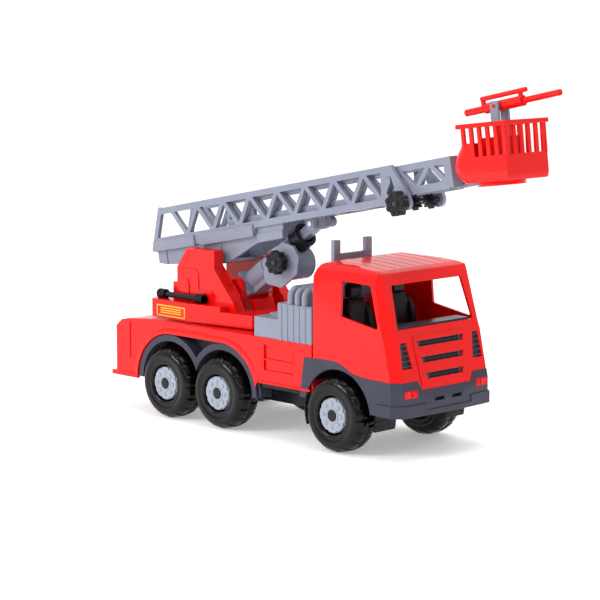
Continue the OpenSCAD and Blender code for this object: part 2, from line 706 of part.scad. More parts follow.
module lift_pinion() color(dark) on_lift() {
    rod_y(axle_r, -26.5, 6.6, gear_u, gear_v);
    along_y(-3, 3) translate([gear_u, gear_v]) pinion_2d(0);
}

module lift_knob() color(black) on_lift() translate([gear_u, 0, gear_v]) knob(-27, -20);

// ---------- basket ----------
module tub_2d(inset = 0) offset(delta = -inset) polygon([
    [tub_front, -tub_half], [tub_front, tub_half],
    for (a = [90 : 15 : 165]) [-18 + 15 * cos(a), tub_half - 15 + 15 * sin(a)],
    for (a = [195 : 15 : 270]) [-18 + 15 * cos(a), 15 - tub_half + 15 * sin(a)]
]);

module post(x, y) translate([x - 1.6, y - 1.6, tub_h - 2]) cube([3.2, 3.2, rail_h - tub_h + 3]);

module basket() color(red) on_basket() difference() {
    union() {
        difference() {
            translate([0, 0, tub_low]) linear_extrude(tub_h - tub_low) tub_2d();
            translate([0, 0, tub_floor]) linear_extrude(tub_h) tub_2d(2);
        }
        // taller wall round the back
        intersection() {
            translate([0, 0, tub_floor]) linear_extrude(31 - tub_floor) difference() {
                tub_2d();
                tub_2d(2);
            }
            block([-40, -16], [-40, 40], [0, 40]);
        }
        both_sides() for (i = [0 : 5]) post(-14.2 + 8.3 * i, tub_half - 1.6);
        for (i = [-2 : 2]) post(tub_front - 1.6, i * 9.4);
        // top rail, open at the back
        translate([0, 0, rail_h]) linear_extrude(3.8) difference() {
            translate([-21.6, -tub_half - 2]) square([tub_front + 24, 2 * tub_half + 4]);
            translate([-22.6, -tub_half + 4]) square([tub_front + 19.6, 2 * tub_half - 8]);
        }
        translate([0, 0, tongue_h[0]]) cylinder(r = basket_pin_r, h = tub_low - tongue_h[0]);
    }
    translate([0, 0, -4]) cylinder(r = screw_r, h = 4);
}

// the cap under the tongue, open at the back for the tongue's swing
module basket_base() color(red) on_basket() difference() {
    translate([0, 0, -4.6]) cylinder(r = 20, h = 4.6 + tub_low);
    translate([0, 0, tongue_h[0] - 0.25]) cylinder(r = 10.6, h = 6);
    translate([0, 0, tongue_h[0] - 0.25]) linear_extrude(6) polygon([
        [4, -9], [-30, -36], [-30, 36], [4, 9]
    ]);
    translate([0, 0, -8]) cylinder(r = screw_r, h = 10);
}

module monitor_stand() color(red) on_basket() {
    block([-8, 16], [-13, 13], [tub_floor, 35]);
    translate([monitor_u, 0, 35]) cylinder(r = 6, h = 9);
}

module monitor_yoke() color(grey) on_basket() translate([monitor_u, 0, 0]) difference() {
    union() {
        translate([0, 0, 44.3]) cylinder(r = 6.5, h = 3);
        both_sides() block([-4, 4], [5, 7.5], [44.3, monitor_v + 4]);
        block([-4, 4], [-6, 6], [44.3, 48]);
    }
    rod_y(1.56, -10, 10, 0, monitor_v);
}

module monitor_barrel() color(red) on_basket() translate([monitor_u, 0, monitor_v]) rotate([0, -5, 0]) {
    rod_x(4.4, -14, 26, 0, 0);
    rod_x(3, -36, -14, 0, 0);
    rod_x(2.6, 26, 64.2, 0, 0);
    rod_x(2, -18, 30, 0, 8.4);
    for (x = [-18, 22]) block([x, x + 3], [-1.4, 1.4], [0, 8.4]);
    rod_y(1.5, -8.5, 8.5);
}

framed() chassis_shell();
framed() chassis_frame();
framed() rear_fender(-1);  // rear_fender_right
framed() rear_fender(1);  // rear_fender_left
framed() front_bumper();
framed() light(-1);  // light_right
framed() light(1);  // light_left
framed() cab_shell();
framed() grille_insert();
framed() vent(-1);  // vent_right
framed() vent(1);  // vent_left
framed() interior_tray();
framed() seat(-1);  // seat_right
framed() seat(1);  // seat_left
framed() dashboard();
framed() ladder_rest();
framed() equipment_box();
framed() frame_screws();
framed() axle(0);  // axle_rear
framed() axle_caps(0);  // axle_caps_rear
framed() tyre(0, -1);  // tyre_rear_right
framed() tyre(0, 1);  // tyre_rear_left
framed() hub(0, -1);  // hub_rear_right
framed() hub(0, 1);  // hub_rear_left
framed() axle(rear_pitch);  // axle_middle
framed() axle_caps(rear_pitch);  // axle_caps_middle
framed() tyre(rear_pitch, -1);  // tyre_middle_right
framed() tyre(rear_pitch, 1);  // tyre_middle_left
framed() hub(rear_pitch, -1);  // hub_middle_right
framed() hub(rear_pitch, 1);  // hub_middle_left
framed() axle(wheelbase);  // axle_front
framed() axle_caps(wheelbase);  // axle_caps_front
framed() tyre(wheelbase, -1);  // tyre_front_right
framed() tyre(wheelbase, 1);  // tyre_front_left
framed() hub(wheelbase, -1);  // hub_front_right
framed() hub(wheelbase, 1);  // hub_front_left
framed() turntable_base();
framed() turret_frame();
framed() turntable_retainer();
framed() retainer_screw();
framed() grab_bar(-1);  // grab_bar_right
framed() grab_bar(1);  // grab_bar_left
framed() ladder_pivot_pin();
framed() lift_foot_pin();
framed() outer_ladder();
framed() ladder_cradle();
framed() lift_head_pin();
framed() inner_ladder();
framed() extension_shaft();
framed() extension_knob();
framed() lift_barrel();
framed() lift_collar();
framed() lift_rod();
framed() lift_pinion();
framed() lift_knob();
framed() basket();
framed() basket_base();
framed() monitor_stand();
framed() monitor_yoke();
framed() monitor_barrel();
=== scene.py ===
"""Looks of a toy aerial-ladder fire engine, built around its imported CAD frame."""
import json
import math

import bmesh
import bpy
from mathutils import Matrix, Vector


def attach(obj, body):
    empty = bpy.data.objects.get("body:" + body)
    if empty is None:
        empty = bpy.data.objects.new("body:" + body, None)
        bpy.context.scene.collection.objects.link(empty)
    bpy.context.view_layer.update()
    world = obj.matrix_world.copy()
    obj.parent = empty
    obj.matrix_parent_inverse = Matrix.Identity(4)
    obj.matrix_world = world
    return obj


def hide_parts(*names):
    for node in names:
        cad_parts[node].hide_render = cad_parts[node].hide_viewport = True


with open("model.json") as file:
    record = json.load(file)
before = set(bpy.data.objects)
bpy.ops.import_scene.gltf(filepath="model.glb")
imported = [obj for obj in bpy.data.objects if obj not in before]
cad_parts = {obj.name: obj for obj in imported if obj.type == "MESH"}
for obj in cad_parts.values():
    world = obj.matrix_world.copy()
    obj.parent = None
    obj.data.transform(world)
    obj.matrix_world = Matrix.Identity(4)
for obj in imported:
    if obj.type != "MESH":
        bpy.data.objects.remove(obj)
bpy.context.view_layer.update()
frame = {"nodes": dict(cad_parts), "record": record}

# ---------- places: millimetres in the toy's own layout, to metres in the row frame ----------
MM = 0.001
ORIGIN_X = 161.0  # from the rear axle to the middle of the toy
LADDER_FOOT = (-66.2, 145.4)
LADDER_PITCH = math.radians(11.3)
BASKET_PIVOT = (344.0, 238.5)
BASKET_TILT = math.radians(7.0)
LIFT_FOOT = (46.7, 123.7)
LIFT_HEAD = (132.6, 186.4)
LIFT_PITCH = math.atan2(LIFT_HEAD[1] - LIFT_FOOT[1], LIFT_HEAD[0] - LIFT_FOOT[0])
AXLE_Z = 32.7
AXLES = {"rear": 0.0, "middle": 70.5, "front": 215.0}
WHEEL_MID_Y = 54.5
SIDES = {"right": -1, "left": 1}


def toy(x, y, z):
    return Vector(((x - ORIGIN_X) * MM, y * MM, z * MM))


def tilted(origin, angle):
    """A place function for something that leans: u along it, v square to it, y across the toy."""
    c, s = math.cos(angle), math.sin(angle)
    return lambda u, y, v: toy(origin[0] + u * c - v * s, y, origin[1] + u * s + v * c)


on_ladder = tilted(LADDER_FOOT, LADDER_PITCH)
on_lift = tilted(LIFT_FOOT, LIFT_PITCH)
on_basket = tilted(BASKET_PIVOT, BASKET_TILT)


def on_wheel(axle, sign):
    """A place function for a wheel, with w from its mid-plane outward."""
    return lambda a, b, w: toy(AXLES[axle] + a, sign * (WHEEL_MID_Y + w), AXLE_Z + b)


# ---------- materials ----------
def node(tree, kind, **values):
    made = tree.nodes.new(kind)
    for key, value in values.items():
        made.inputs[key.replace("_", " ")].default_value = value
    return made


def plastic(name, colour, spread=0.06, rough=0.3, grain=700.0, bump=0.12, clouds=30.0, gloss=0.3):
    """Moulded plastic: cloudy colour, a fine moulded grain, and patches that are a little duller."""
    low, high = 0.3, 0.7
    made = bpy.data.materials.new(name)
    made.use_nodes = True
    tree = made.node_tree
    shader = tree.nodes["Principled BSDF"]
    place = tree.nodes.new("ShaderNodeTexCoord")

    cloud = node(tree, "ShaderNodeTexNoise", Scale=clouds, Detail=3.0, Roughness=0.55)
    tree.links.new(place.outputs["Object"], cloud.inputs["Vector"])
    ramp = tree.nodes.new("ShaderNodeValToRGB")
    ramp.color_ramp.elements[0].position = low
    ramp.color_ramp.elements[1].position = high
    ramp.color_ramp.elements[0].color = [c * (1 - spread) for c in colour] + [1]
    ramp.color_ramp.elements[1].color = [min(1.0, c * (1 + spread)) for c in colour] + [1]
    tree.links.new(cloud.outputs["Fac"], ramp.inputs["Fac"])
    tree.links.new(ramp.outputs["Color"], shader.inputs["Base Color"])

    fine = node(tree, "ShaderNodeTexNoise", Scale=grain, Detail=4.0, Roughness=0.6)
    tree.links.new(place.outputs["Object"], fine.inputs["Vector"])

    smear = node(tree, "ShaderNodeTexNoise", Scale=clouds * 2.6, Detail=2.0)
    tree.links.new(place.outputs["Object"], smear.inputs["Vector"])
    dull = node(
        tree, "ShaderNodeMapRange", From_Min=low, From_Max=high, To_Min=rough * 0.85, To_Max=rough * 1.2
    )
    tree.links.new(smear.outputs["Fac"], dull.inputs["Value"])
    tree.links.new(dull.outputs["Result"], shader.inputs["Roughness"])

    relief = node(tree, "ShaderNodeBump", Strength=bump, Distance=0.0002)
    tree.links.new(fine.outputs["Fac"], relief.inputs["Height"])
    tree.links.new(relief.outputs["Normal"], shader.inputs["Normal"])
    shader.inputs["Specular IOR Level"].default_value = gloss
    return made


def drawn_steel(name):
    made = plastic(name, (0.62, 0.62, 0.64), 0.08, 0.28, 500.0, 0.2)
    made.node_tree.nodes["Principled BSDF"].inputs["Metallic"].default_value = 1.0
    return made


MATERIALS = {
    "red": plastic("red_plastic", (0.78, 0.006, 0.005), 0.05, 0.12, 420.0, 0.05, 26.0, 0.26),
    "grey": plastic("grey_plastic", (0.235, 0.255, 0.33), 0.05, 0.24, 520.0, 0.12, 30.0, 0.3),
    "dark": plastic("slate_plastic", (0.040, 0.042, 0.066), 0.07, 0.3, 520.0, 0.15, 30.0, 0.25),
    "black": plastic("black_plastic", (0.012, 0.012, 0.016), 0.12, 0.26, 600.0, 0.15, 34.0, 0.2),
    "tyre": plastic("tyre_plastic", (0.003, 0.003, 0.004), 0.15, 0.13, 480.0, 0.06, 40.0, 0.24),
    "steel": drawn_steel("drawn_steel"),
}
HUB_GREY = plastic("hub_plastic", (0.33, 0.365, 0.44), 0.05, 0.33, 420.0, 0.14, 40.0)
YELLOW = plastic("sticker_yellow", (0.9, 0.52, 0.01), 0.04, 0.35, 300.0, 0.05, 60.0)
STICKER_RED = plastic("sticker_red", (0.62, 0.012, 0.01), 0.05, 0.35, 300.0, 0.05, 60.0)
# Near-black painted shade, for the hollows inside the knob rings and the inside of the front wheel arches.
SHADOW = plastic("painted_shade_black", (0.006, 0.006, 0.007), 0.1, 0.5, 500.0, 0.1, 40.0)


# ---------- mesh builder ----------
class Shape:
    """Vertices and faces, gathered through a place function, that become one piece."""

    def __init__(self, place):
        self.place = place
        self.verts = []
        self.faces = []

    def ring_stack(self, rings, capped=True):
        """Joins equal-length closed rings of points, one after another."""
        start, count = len(self.verts), len(rings[0])
        for ring in rings:
            self.verts += [self.place(*point) for point in ring]
        for i in range(len(rings) - 1):
            for j in range(count):
                k = (j + 1) % count
                a, b = start + i * count, start + (i + 1) * count
                self.faces.append((a + j, a + k, b + k, b + j))
        if capped:
            self.faces.append(tuple(reversed(range(start, start + count))))
            last = start + (len(rings) - 1) * count
            self.faces.append(tuple(range(last, last + count)))

    def slab(self, outline, y0, y1):
        """An outline drawn in (u, v), extruded along y."""
        self.ring_stack([[(u, y, v) for u, v in outline] for y in (y0, y1)])

    def plate(self, outline, v0, v1):
        """An outline drawn in (u, y), extruded along v."""
        self.ring_stack([[(u, y, v) for u, y in outline] for v in (v0, v1)])

    def block(self, u, y, v):
        self.plate([(u[0], y[0]), (u[1], y[0]), (u[1], y[1]), (u[0], y[1])], v[0], v[1])

    def turned(self, profile, centre, axis="y", segments=40):
        """A profile of (radius, along) turned about an axis through centre."""
        rings = []
        for radius, along in profile:
            ring = []
            for i in range(segments):
                turn = 2 * math.pi * i / segments
                c, s = radius * math.cos(turn), radius * math.sin(turn)
                offset = {"y": (c, along, s), "x": (along, c, s), "z": (c, s, along)}[axis]
                ring.append(tuple(centre[n] + offset[n] for n in range(3)))
            rings.append(ring)
        self.ring_stack(rings)

    def piece(self, name, material, body, bevel=0.5, segments=2, replaces=()):
        """Makes the object, with its edges rounded, riding on a body."""
        mesh = bpy.data.meshes.new(name)
        mesh.from_pydata([tuple(v) for v in self.verts], [], self.faces)
        work = bmesh.new()
        work.from_mesh(mesh)
        bmesh.ops.recalc_face_normals(work, faces=work.faces)
        work.to_mesh(mesh)
        work.free()
        made = bpy.data.objects.new(name, mesh)
        bpy.context.scene.collection.objects.link(made)
        finish_surface(made, bevel, segments, weld=False)
        mesh.materials.append(material)
        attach(made, body)
        if replaces:
            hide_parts(*replaces)


def finish_surface(made, bevel, segments=2, weld=True):
    """Rounds the sharp edges a little, as moulding does, and shades the rest smoothly."""
    made.data.polygons.foreach_set("use_smooth", [True] * len(made.data.polygons))
    if weld:
        merge = made.modifiers.new("weld", "WELD")
        merge.merge_threshold = 0.00002
    if bevel:
        edge = made.modifiers.new("bevel", "BEVEL")
        edge.width = bevel * MM
        edge.segments = segments
        edge.limit_method = "ANGLE"
        edge.angle_limit = math.radians(32.0)
        edge.use_clamp_overlap = True
    even = made.modifiers.new("normals", "WEIGHTED_NORMAL")
    even.keep_sharp = True
    even.weight = 80


# ---------- CAD nodes ----------
SLOTS = {row["node"]: row["material_slot"] for row in frame["record"]["subparts"]}
PLAIN_BEVEL = 0.4
BEVELS = {
    "chassis_shell": 0.9, "cab_shell": 0.7, "front_bumper": 0.8, "equipment_box": 0.9,
    "turntable_base": 0.9, "turret_frame": 0.8, "outer_ladder": 0.45, "inner_ladder": 0.3,
    "ladder_cradle": 0.5, "lift_barrel": 0.6, "basket_base": 0.6, "chassis_frame": 0.6,
    "rear_fender_right": 0.5, "rear_fender_left": 0.5,
}
for name, part in frame["nodes"].items():
    part.data.materials.clear()
    part.data.materials.append(HUB_GREY if name.startswith("hub_") else MATERIALS[SLOTS[name]])
    finish_surface(part, BEVELS.get(name, PLAIN_BEVEL))


# ---------- wheels ----------
LUGS = 18
STEPS_PER_LUG = 12
GROOVE_HALF = 0.14  # of a lug
GROOVE_WALL = 0.06
GROOVE_DEPTH = 1.2
TREAD_FROM = 29.0  # radius at which the grooves begin
MID_GROOVE_HALF = 1.2
TYRE_HALF = [  # (radius, distance from the mid-plane), from the bead out to the middle of the tread
    (16.4, 6.0), (16.6, 9.6), (17.4, 11.6), (18.6, 12.5), (20.2, 12.3), (21.4, 12.1), (22.8, 12.7),
    (24.8, 13.0), (26.8, 12.9), (28.4, 12.3), (29.4, 11.6), (30.2, 10.7), (31.2, 9.4), (32.0, 7.6),
    (32.5, 5.6), (32.65, 3.6), (32.7, 1.9), (32.7, 1.1), (32.7, 0.0),
]


def tyre_rings():
    """The sidewall is plain; the tread has two staggered rows of blocks that reach over the shoulder."""
    profile = TYRE_HALF + [(radius, -w) for radius, w in reversed(TYRE_HALF[:-1])]
    count = LUGS * STEPS_PER_LUG
    rings = []
    for radius, w in profile:
        stagger = 0.5 if w < 0 else 0.0
        reach = max(0.0, min(1.0, radius - TREAD_FROM))
        ring = []
        for i in range(count):
            turn = (i / STEPS_PER_LUG + stagger) % 1.0
            groove = max(0.0, min(1.0, (GROOVE_HALF - min(turn, 1 - turn)) / GROOVE_WALL))
            if abs(w) < MID_GROOVE_HALF:
                groove = 1.0
            cut = radius - GROOVE_DEPTH * groove * reach
            angle = 2 * math.pi * i / count
            ring.append((cut * math.cos(angle), cut * math.sin(angle), w))
        rings.append(ring)
    return rings


def tyre(axle, side, sign):
    made = Shape(on_wheel(axle, sign))
    made.ring_stack(tyre_rings(), capped=False)
    name = f"tyre_moulded_{axle}_{side}"
    made.piece(name, MATERIALS["tyre"], f"{axle}_wheels", 0, 1, [f"tyre_{axle}_{side}"])


def hub_bosses(axle, side, sign):
    """Eight small domes on the hub, and a rim round its centre cap."""
    count, circle = 8, 10.3
    dome = [(1.9, 11.5), (1.85, 12.1), (1.45, 12.6), (0.8, 12.85), (0.1, 12.9)]
    rim = [(6.2, 11.7), (6.3, 12.1), (6.9, 12.25), (7.3, 12.1), (7.4, 11.7)]
    made = Shape(on_wheel(axle, sign))
    for i in range(count):
        turn = 2 * math.pi * i / count
        made.turned(dome, (circle * math.cos(turn), circle * math.sin(turn), 0), "z", 16)
    made.turned(rim, (0, 0, 0), "z")
    made.piece(f"hub_bosses_{axle}_{side}", HUB_GREY, f"{axle}_wheels", 0)


for axle in AXLES:
    for side, sign in SIDES.items():
        tyre(axle, side, sign)
        hub_bosses(axle, side, sign)


# ---------- cab front ----------
FRONT_X, FRONT_Z = 276, 106  # a point on the cab's sloping face
FRONT_LEAN = 0.2217
PANEL_TOP, PANEL_BOTTOM = 104.0, 62.5
PANEL_DEPTH = (-0.3, 0.9)
GRILLE_SLOTS = 3
SLOT_DROP, SLOT_HEIGHT = 13.5, 4.9
SLOT_TAPER, SLOT_FLARE = 3.0, 1.4


def on_front(u, y, v):
    """A place function for the cab's sloping face: u stands out from it, v is the height."""
    return toy(FRONT_X + (FRONT_Z - v) * FRONT_LEAN + u, y, v + u * FRONT_LEAN)


def grille_slot(i):
    """Bottom, top, and half widths there, of a slot counted from the top."""
    low, half = 95.0 - SLOT_DROP * i, 28.2 - SLOT_TAPER * i
    return low, low + SLOT_HEIGHT, half, half + SLOT_FLARE


def panel_half(z):
    return 30 + (z - 59.5) * 4 / 44.5


def grille_panel(slots):
    """The raised panel round the slots: bars above and below, and an end strip on each side."""
    made = Shape(on_front)

    def raised(corners):
        made.ring_stack([[(u, y, v) for y, v in corners] for u in PANEL_DEPTH])

    edges = [PANEL_TOP] + [edge for low, high, _, _ in slots for edge in (high, low)] + [PANEL_BOTTOM]
    for top, bottom in zip(edges[0::2], edges[1::2]):
        wide, narrow = panel_half(top), panel_half(bottom)
        raised([(narrow, bottom), (wide, top), (-wide, top), (-narrow, bottom)])
    for low, high, half_low, half_high in slots:
        for sign in (1, -1):
            raised([
                (sign * half_low, low), (sign * panel_half(low), low),
                (sign * panel_half(high), high), (sign * half_high, high),
            ])
    made.piece("grille_panel", MATERIALS["red"], "chassis", 0.35)


def grille_mesh(slots):
    """A net of thin bars in each slot, between two plain ends."""
    end_width, overlap, pitch, bar = 4, 1.4, 2.6, 0.35
    made = Shape(on_front)
    for low, high, half_low, _ in slots:
        half = half_low - end_width
        made.block((-2.4, -0.7), (half, half_low + overlap), (low - 0.5, high + 0.5))
        made.block((-2.4, -0.7), (-half_low - overlap, -half), (low - 0.5, high + 0.5))
        for z in (low + 0.1, (low + high) / 2, high - 0.1):
            made.block((-2.2, -0.9), (-half, half), (z - bar, z + bar))
        steps = int(half * 2 / pitch)
        for i in range(steps + 1):
            y = -half + i * 2 * half / steps
            made.block((-2.2, -0.9), (y - bar, y + bar), (low - 0.4, high + 0.4))
    made.piece("grille_mesh", MATERIALS["dark"], "chassis", 0.15, 1)


def vent_slats():
    count, first, pitch, half = 5, 80.6, 4.4, 0.7
    made = Shape(on_front)
    for sign in (1, -1):
        across = sorted((sign * 38.9, sign * 50.6))
        for i in range(count):
            z = first + pitch * i
            made.block((-2.2, -0.2), across, (z - half, z + half))
    made.piece("vent_slats", MATERIALS["dark"], "chassis", 0.25, 1)


def light_ribs():
    """Upright ribs on the lamps, which step back toward the corner."""
    count, first, pitch, half = 6, 38.6, 2.55, 0.7
    made = Shape(toy)
    for sign in (1, -1):
        for i in range(count):
            y = sign * (first + pitch * i)
            x = 287.5 if abs(y) < 46 else 286.6
            made.block((x - 3, x + 0.3), (y - half, y + half), (54.6, 60.2))
    made.piece("light_ribs", MATERIALS["red"], "chassis", 0.25, 2)


grille_slots = [grille_slot(i) for i in range(GRILLE_SLOTS)]
grille_panel(grille_slots)
grille_mesh(grille_slots)
vent_slats()
light_ribs()


# ---------- seats ----------
BACK_OUTLINE = [(203, 88), (197.5, 126), (200, 129), (205, 129), (208, 122), (213, 88)]
BOLSTER_OUTLINE = [(203, 88), (198, 122), (201, 126), (207, 125), (212, 116), (217, 90)]
HEADREST_OUTLINE = [(198.5, 129.5), (197.2, 139), (199.5, 142), (204, 142), (206.4, 138), (206, 130)]
SEAT_Y = 27


def seat(side, sign):
    """Cushion, back with side bolsters, and a headrest on two posts."""
    mid = sign * SEAT_Y
    made = Shape(toy)
    made.block((204, 237), (mid - 13.5, mid + 13.5), (75.8, 90))
    made.slab(BACK_OUTLINE, mid - 9.5, mid + 9.5)
    for edge in (-1, 1):
        made.slab(BOLSTER_OUTLINE, *sorted((mid + edge * 9, mid + edge * 14)))
        made.block((206, 236), sorted((mid + edge * 10, mid + edge * 14)), (88, 93))
    made.slab(HEADREST_OUTLINE, mid - 6.5, mid + 6.5)
    for edge in (-1, 1):
        made.turned([(0.9, 126), (0.9, 131)], (202.2, mid + edge * 3.5, 0), "z", 12)
    made.piece(f"seat_moulded_{side}", MATERIALS["black"], "chassis", 1.6, 3, [f"seat_{side}"])


for side, sign in SIDES.items():
    seat(side, sign)


# ---------- sticker on the turntable ----------
STICKER_Y = -52.0
STICKER_X = (-27.0, 12.0)
STICKER_Z = (92.0, 102.5)
STICKER_BORDER = 1.1


def sticker():
    """A yellow frame round a red field with three plain stripes."""
    left, right = STICKER_X
    low, high = STICKER_Z
    in_x = (left + STICKER_BORDER, right - STICKER_BORDER)
    in_z = (low + STICKER_BORDER, high - STICKER_BORDER)

    border = Shape(toy)
    strips = (
        (STICKER_X, (in_z[1], high)), (STICKER_X, (low, in_z[0])),
        ((left, in_x[0]), in_z), ((in_x[1], right), in_z),
    )
    for x, z in strips:
        border.block(x, (STICKER_Y - 0.18, STICKER_Y), z)
    border.piece("sticker_frame", YELLOW, "turntable", 0.08, 1)

    field = Shape(toy)
    field.block(in_x, (STICKER_Y - 0.12, STICKER_Y), in_z)
    field.piece("sticker_field", STICKER_RED, "turntable", 0.05, 1)

    stripes = Shape(toy)
    for i in range(3):
        z = 94.9 + 2.1 * i
        stripes.block((-21.5, 6.5), (STICKER_Y - 0.2, STICKER_Y - 0.1), (z, z + 1.0))
    stripes.piece("sticker_stripes", YELLOW, "turntable", 0.05, 1)


sticker()


# ---------- knobs ----------
def knob_face(name, place, u, v, y, body):
    """On a knob's flat face at y: a raised ring, a dimple on each lobe, and the shaft's end in the hollow
    inside the ring, whose floor is a near-black disc of painted shade.
    """
    lobes, lobe_circle = 8, 7.9
    face = Shape(place)
    face.turned([(4.6, y), (4.5, y - 0.5), (3.9, y - 0.7), (3.5, y - 0.5), (3.4, y)], (u, 0, v), "y", 36)
    dome = [(1.5, y), (1.35, y - 0.45), (0.7, y - 0.7), (0.1, y - 0.75)]
    for i in range(lobes):
        turn = math.radians(45 * i + 22.5)
        centre = (u + lobe_circle * math.cos(turn), 0, v + lobe_circle * math.sin(turn))
        face.turned(dome, centre, "y", 16)
    face.piece(f"{name}_face", MATERIALS["black"], body, 0)

    # A near-black disc of painted shade on the floor of the hollow inside the ring.
    recess_shade = Shape(place)
    recess_shade.turned([(3.4, y), (3.4, y - 0.12), (0.1, y - 0.12)], (u, 0, v), "y", 32)
    recess_shade.piece(f"{name}_recess", SHADOW, body, 0)

    end = Shape(place)
    end.turned([(2.1, y), (2.1, y - 0.6), (1.7, y - 0.9), (0.1, y - 0.95)], (u, 0, v), "y", 24)
    end.piece(f"{name}_shaft_end", MATERIALS["dark"], body, 0)


knob_face("extension_knob", on_ladder, 330.6, 4.6, -35.0, "extension_drive")
knob_face("lift_knob", on_lift, 61.3, -11.8, -27.0, "lift_drive")


# ---------- basket ----------
TUB_FLOOR = -1.0
TUB_HEIGHT = 32.0
TUB_WALL = 2.0
TUB_HALF, TUB_FRONT, TUB_CORNER = 26.0, 29.0, 15.0
BACK_BULGE = [25.5, 31.0, 34.2, 35.2, 34.4, 31.8, 28.4, 24.6]  # evenly spaced up the tub
LOW_WALL = [-1.0, 1.0, 4.0, 8.0, 12.0, 16.0, 20.2]
BACK_WALL = [20.2, 23.0, 26.0, 29.0, 31.5]
BACK_WALL_FRONT = -9.0
BARS = 6


def tub_outline(z, grow=0.0):
    """Plan of the tub at a height: square in front, rounded and bulging at the back."""
    last = len(BACK_BULGE) - 1
    at = max(0.0, min(float(last), (z - TUB_FLOOR) / TUB_HEIGHT * last))
    below = int(at)
    above = min(last, below + 1)
    back = BACK_BULGE[below] + (BACK_BULGE[above] - BACK_BULGE[below]) * (at - below) + grow
    draft = max(0.0, 2 - z)
    half = TUB_HALF + grow - draft * 0.5
    front = TUB_FRONT + grow - draft * 0.3
    points = [(front, -half), (front, half)]
    for start, corner_y in ((90, half - TUB_CORNER), (180, -half + TUB_CORNER)):
        for i in range(7):
            turn = math.radians(start + 15 * i)
            points.append((
                -back + TUB_CORNER + TUB_CORNER * math.cos(turn), corner_y + TUB_CORNER * math.sin(turn)
            ))
    return points


def basket_tub():
    """A low wall all round, a taller one round the back, and the pivot boss under the floor."""
    made = Shape(on_basket)
    outer = [[(x, y, z) for x, y in tub_outline(z)] for z in LOW_WALL]
    inner = [[(x, y, z) for x, y in tub_outline(z, -TUB_WALL)] for z in reversed(LOW_WALL[1:])]
    made.ring_stack(outer + inner)
    inside_y = TUB_HALF - TUB_WALL
    rings = []
    for z in BACK_WALL:
        outline, inset = tub_outline(z)[2:], tub_outline(z, -TUB_WALL)[2:]
        plan = [(BACK_WALL_FRONT, TUB_HALF)] + outline + [(BACK_WALL_FRONT, -TUB_HALF)]
        plan += [(BACK_WALL_FRONT, -inside_y)] + list(reversed(inset)) + [(BACK_WALL_FRONT, inside_y)]
        rings.append([(x, y, z) for x, y in plan])
    made.ring_stack(rings)
    made.turned([(4.0, -1.0), (4.0, -3.2)], (0, 0, 0), "z", 32)
    made.piece("basket_tub", MATERIALS["red"], "basket", 0.5, 2, ["basket"])


def basket_cage():
    """Upright bars on both sides and in front; each lists height, half width, half depth and place."""
    side_bar = ((18.5, 2.1, 1.0, 24.6), (20.2, 2.1, 1.1, 24.8), (45.0, 1.8, 1.1, 25.4))
    front_bar = ((18.5, 2.0, 1.0, 27.7), (20.2, 2.0, 1.1, 27.8), (45.0, 1.7, 1.1, 28.2))
    made = Shape(on_basket)
    for sign in (1, -1):
        for i in range(BARS):
            x = -15.5 + 8.6 * i
            made.ring_stack([
                [(x - w, sign * (y + d), z), (x + w, sign * (y + d), z),
                 (x + w, sign * (y - d), z), (x - w, sign * (y - d), z)]
                for z, w, d, y in side_bar
            ])
    for i in range(BARS):
        y = -22.5 + 9.0 * i
        made.ring_stack([
            [(x + d, y - w, z), (x + d, y + w, z), (x - d, y + w, z), (x - d, y - w, z)]
            for z, w, d, x in front_bar
        ])
    made.piece("basket_cage", MATERIALS["red"], "basket", 0.35, 2)


def basket_rail():
    back, front, half, width = -21.6, 31.4, 28.0, 5.4
    height = (43.6, 47.4)
    made = Shape(on_basket)
    for y in (-half, half - width):
        made.block((back, front), (y, y + width), height)
    made.block((front - 5.2, front), (-22.7, 22.7), height)
    made.piece("basket_rail", MATERIALS["red"], "basket", 0.7, 3)


basket_tub()
basket_cage()
basket_rail()


# ---------- body details ----------
FLANK_Y = 60.0
ARC_STEPS = 18
LINER_STEPS = 30


def arc(centre, radius, start, end, steps):
    turns = [math.radians(start + (end - start) * i / steps) for i in range(steps + 1)]
    return [(centre[0] + radius * math.cos(t), centre[1] + radius * math.sin(t)) for t in turns]


def arch_lip(side, sign):
    """The body's raised lip round the pair of rear wheels, and along its lower edge ahead of them."""
    rear, middle = (AXLES["rear"], AXLE_Z), (AXLES["middle"], AXLE_Z)
    inner = arc(rear, 45.2, 180, 92, ARC_STEPS) + [(35.2, 78.4)]
    inner += arc(middle, 45.2, 88, 14, ARC_STEPS) + [(117, 48.2)]
    outer = arc(rear, 50.5, 180, 94, ARC_STEPS) + [(35.2, 84.4)]
    outer += arc(middle, 50.5, 86, 24, ARC_STEPS) + [(121, 51.5)]
    foot = (0.0, 0.0, -0.2, -0.2)
    proud = (1.1, 1.1, 0.15, 0.15)
    made = Shape(toy)
    for a, b, c, d in zip(inner, inner[1:], outer[1:], outer):
        made.ring_stack([
            [(x, sign * (FLANK_Y + out), z) for (x, z), out in zip((a, b, c, d), level)]
            for level in (foot, proud)
        ])
    made.block((119, 182.5), sorted((sign * 59.8, sign * 60.9)), (48.0, 50.2))
    made.piece(f"arch_lip_{side}", MATERIALS["red"], "chassis", 0)


def side_panel(side, sign):
    """Two crossbars, an end bar and a raised field in the sunken panel ahead of the rear wheels."""
    across = sorted((sign * 58.7, sign * 60.5))
    made = Shape(toy)
    made.block((124, 162), across, (69.4, 70.8))
    made.block((123.4, 125.2), across, (59.4, 83.4))
    made.block((123.4, 162), across, (59.0, 60.4))
    made.block((150, 162), across, (71, 83))
    made.piece(f"side_panel_{side}", MATERIALS["red"], "chassis", 0.4, 2)


